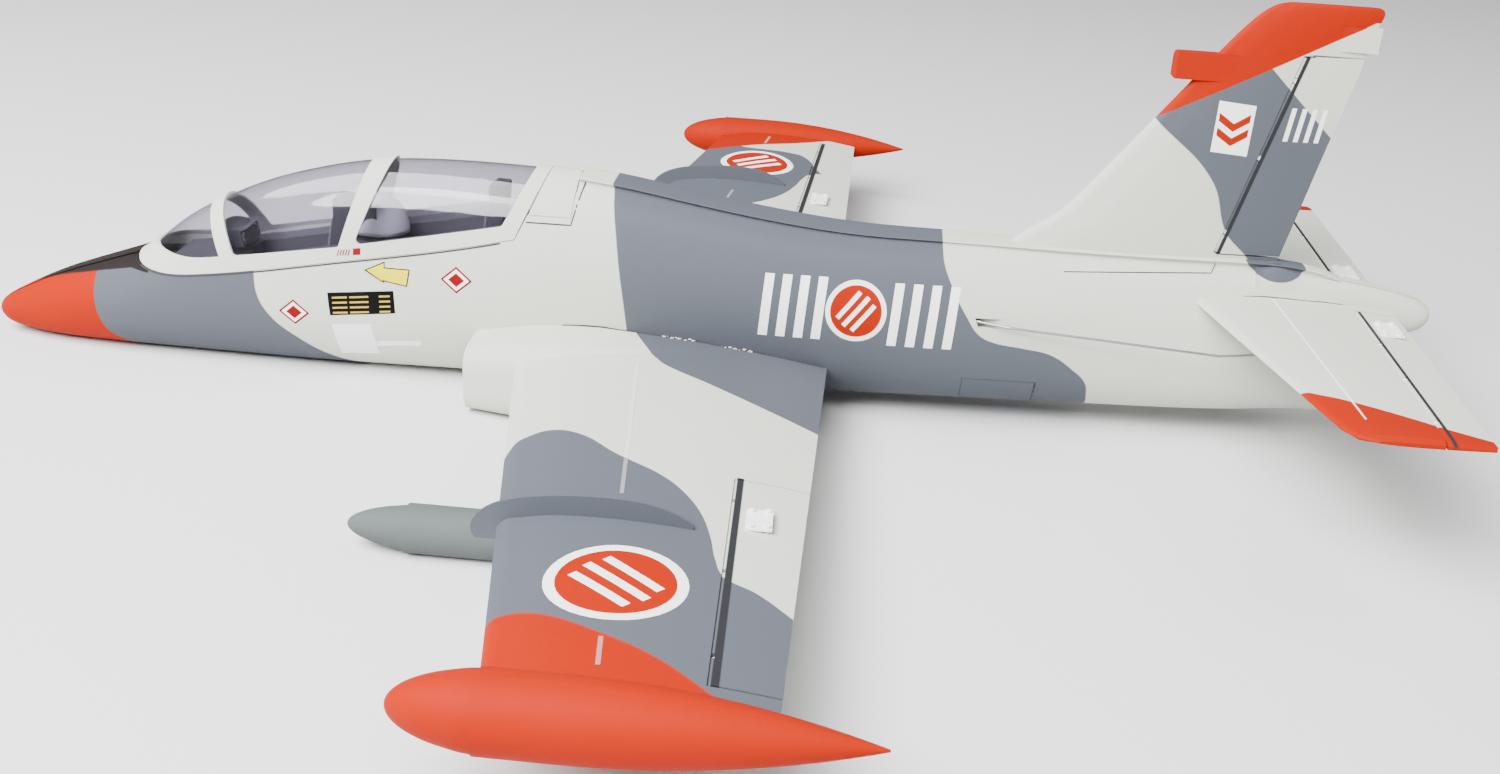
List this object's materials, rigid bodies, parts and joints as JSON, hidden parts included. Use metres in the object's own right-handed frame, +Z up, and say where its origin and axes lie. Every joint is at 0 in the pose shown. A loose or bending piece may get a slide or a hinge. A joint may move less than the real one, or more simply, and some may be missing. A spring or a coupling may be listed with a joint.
{
  "type": "rc jet plane",
  "caption": "Radio-controlled foam jet trainer with ducted fan, wing tip tanks, working ailerons, elevators and rudder, and a lift-off canopy.",
  "frame": {"origin": "under the middle of the aircraft's box, on the surface that it rests on", "axes": "-Y towards the nose, +X towards the left wing tip, +Z up"},
  "size_m": [1.024, 1.0547, 0.3105],
  "materials": {
    "foam_light": "painted moulded foam",
    "foam_orange": "painted moulded foam",
    "foam_grey": "painted moulded foam",
    "canopy_paint": "painted moulding",
    "clear_canopy": "clear vacuum-formed plastic",
    "cockpit_grey": "painted moulding",
    "seat_dark": "painted moulding",
    "nylon_white": "moulded nylon",
    "steel": "drawn wire",
    "servo_case": "moulded",
    "fan_plastic": "moulded",
    "motor_metal": "machined",
    "duct_plastic": "thermoformed sheet",
    "carbon_tube": "pultruded tube",
    "battery_wrap": "shrink wrap",
    "strap_fabric": "hook-and-loop webbing",
    "plywood": "light plywood"
  },
  "bodies": {
    "airframe": {"left_wing": "foam_light", "right_wing": "foam_light", "left_wing_fence": "foam_grey", "right_wing_fence": "foam_grey", "left_tip_tank": "foam_orange", "right_tip_tank": "foam_orange", "left_drop_tank": "foam_grey", "right_drop_tank": "foam_grey", "left_wing_spar": "carbon_tube", "right_wing_spar": "carbon_tube", "left_stabilizer": "foam_light", "right_stabilizer": "foam_light", "fin": "foam_light", "hinge_brackets": "nylon_white", "hinge_rods": "steel", "left_aileron_servo": "servo_case", "right_aileron_servo": "servo_case", "left_elevator_servo": "servo_case", "right_elevator_servo": "servo_case", "rudder_servo": "servo_case", "fuselage_left_shell": "foam_light", "fuselage_right_shell": "foam_light", "belly_hatch": "foam_light", "exhaust_duct": "duct_plastic", "fan_housing": "fan_plastic", "fan_motor": "motor_metal", "equipment_tray": "plywood", "battery": "battery_wrap", "speed_controller": "fan_plastic", "receiver": "fan_plastic", "battery_strap": "strap_fabric"},
    "canopy_hatch": {"canopy_frame": "canopy_paint", "canopy_glazing": "clear_canopy", "canopy_block": "foam_light", "cockpit_tub": "cockpit_grey", "front_seat": "seat_dark", "rear_seat": "seat_dark", "front_panel": "cockpit_grey", "rear_panel": "cockpit_grey"},
    "fan": {"fan_rotor": "fan_plastic"},
    "rudder": {"rudder": "foam_light", "rudder_horn": "nylon_white"},
    "rudder_arm": {"rudder_servo_arm": "nylon_white"},
    "rudder_link": {"rudder_pushrod": "steel"},
    "left_aileron": {"left_aileron": "foam_light", "left_aileron_horn": "nylon_white"},
    "left_aileron_arm": {"left_aileron_servo_arm": "nylon_white"},
    "left_aileron_link": {"left_aileron_pushrod": "steel"},
    "left_elevator": {"left_elevator": "foam_light", "left_elevator_horn": "nylon_white"},
    "left_elevator_arm": {"left_elevator_servo_arm": "nylon_white"},
    "left_elevator_link": {"left_elevator_pushrod": "steel"},
    "right_aileron": {"right_aileron": "foam_light", "right_aileron_horn": "nylon_white"},
    "right_aileron_arm": {"right_aileron_servo_arm": "nylon_white"},
    "right_aileron_link": {"right_aileron_pushrod": "steel"},
    "right_elevator": {"right_elevator": "foam_light", "right_elevator_horn": "nylon_white"},
    "right_elevator_arm": {"right_elevator_servo_arm": "nylon_white"},
    "right_elevator_link": {"right_elevator_pushrod": "steel"}
  },
  "joints": [
    {"name": "left_aileron_hinge", "type": "hinge", "parent": "airframe", "child": "left_aileron", "pos_m": [0.252, 0.0665, 0.05087], "axis": [0.998, 0.0466, 0.0419], "range_deg": [-22, 22]},
    {"name": "left_aileron_servo_shaft", "type": "hinge", "parent": "airframe", "child": "left_aileron_arm", "pos_m": [0.30191, 0.02779, 0.05296], "axis": [0.998, 0.0466, 0.0419], "range_deg": [-23, 23]},
    {"name": "left_aileron_link_pin", "type": "hinge", "parent": "left_aileron_arm", "child": "left_aileron_link", "pos_m": [0.30425, 0.02787, 0.04005], "axis": [0.998, 0.0466, 0.0419], "range_deg": [-23, 23]},
    {"name": "right_aileron_hinge", "type": "hinge", "parent": "airframe", "child": "right_aileron", "pos_m": [-0.252, 0.0665, 0.05087], "axis": [0.998, -0.0466, -0.0419], "range_deg": [-22, 22]},
    {"name": "right_aileron_servo_shaft", "type": "hinge", "parent": "airframe", "child": "right_aileron_arm", "pos_m": [-0.30191, 0.02779, 0.05296], "axis": [0.998, -0.0466, -0.0419], "range_deg": [-23, 23]},
    {"name": "right_aileron_link_pin", "type": "hinge", "parent": "right_aileron_arm", "child": "right_aileron_link", "pos_m": [-0.30425, 0.02787, 0.04005], "axis": [0.998, -0.0466, -0.0419], "range_deg": [-23, 23]},
    {"name": "left_elevator_hinge", "type": "hinge", "parent": "airframe", "child": "left_elevator", "pos_m": [0.024, 0.4725, 0.1055], "axis": [1, 0, 0], "range_deg": [-22, 22]},
    {"name": "left_elevator_servo_shaft", "type": "hinge", "parent": "airframe", "child": "left_elevator_arm", "pos_m": [0.0295, 0.2005, 0.097], "axis": [1, 0, 0], "range_deg": [-23, 23]},
    {"name": "left_elevator_link_pin", "type": "hinge", "parent": "left_elevator_arm", "child": "left_elevator_link", "pos_m": [0.0313, 0.2005, 0.084], "axis": [1, 0, 0], "range_deg": [-23, 23]},
    {"name": "right_elevator_hinge", "type": "hinge", "parent": "airframe", "child": "right_elevator", "pos_m": [-0.024, 0.4725, 0.1055], "axis": [1, 0, 0], "range_deg": [-22, 22]},
    {"name": "right_elevator_servo_shaft", "type": "hinge", "parent": "airframe", "child": "right_elevator_arm", "pos_m": [-0.0295, 0.2005, 0.097], "axis": [1, 0, 0], "range_deg": [-23, 23]},
    {"name": "right_elevator_link_pin", "type": "hinge", "parent": "right_elevator_arm", "child": "right_elevator_link", "pos_m": [-0.0313, 0.2005, 0.084], "axis": [1, 0, 0], "range_deg": [-23, 23]},
    {"name": "rudder_hinge", "type": "hinge", "parent": "airframe", "child": "rudder", "pos_m": [0, 0.3745, 0.1345], "axis": [0, 0.2457, 0.9693], "range_deg": [-26, 26]},
    {"name": "rudder_servo_shaft", "type": "hinge", "parent": "airframe", "child": "rudder_arm", "pos_m": [-0.0024, 0.33925, 0.18264], "axis": [0, 0.2457, 0.9693], "range_deg": [-27, 27]},
    {"name": "rudder_link_pin", "type": "hinge", "parent": "rudder_arm", "child": "rudder_link", "pos_m": [-0.0154, 0.33969, 0.18438], "axis": [0, 0.2457, 0.9693], "range_deg": [-27, 27]},
    {"name": "fan_spin", "type": "hinge", "parent": "airframe", "child": "fan", "pos_m": [0, 0.2025, 0.0535], "axis": [0, 1, 0], "continuous": true},
    {"name": "canopy_lift", "type": "slide", "parent": "airframe", "child": "canopy_hatch", "axis": [0, 0, 1], "range_m": [0, 0.12]}
  ],
  "couplings": [
    {"joint": "left_aileron_servo_shaft", "follows": "left_aileron_hinge", "ratio": 1},
    {"joint": "left_aileron_link_pin", "follows": "left_aileron_hinge", "ratio": -1},
    {"joint": "right_aileron_hinge", "follows": "left_aileron_hinge", "ratio": -1},
    {"joint": "right_aileron_servo_shaft", "follows": "left_aileron_hinge", "ratio": -1},
    {"joint": "right_aileron_link_pin", "follows": "left_aileron_hinge", "ratio": 1},
    {"joint": "left_elevator_servo_shaft", "follows": "left_elevator_hinge", "ratio": 1},
    {"joint": "left_elevator_link_pin", "follows": "left_elevator_hinge", "ratio": -1},
    {"joint": "right_elevator_hinge", "follows": "left_elevator_hinge", "ratio": 1},
    {"joint": "right_elevator_servo_shaft", "follows": "left_elevator_hinge", "ratio": 1},
    {"joint": "right_elevator_link_pin", "follows": "left_elevator_hinge", "ratio": -1},
    {"joint": "rudder_servo_shaft", "follows": "rudder_hinge", "ratio": 1},
    {"joint": "rudder_link_pin", "follows": "rudder_hinge", "ratio": -1}
  ]
}
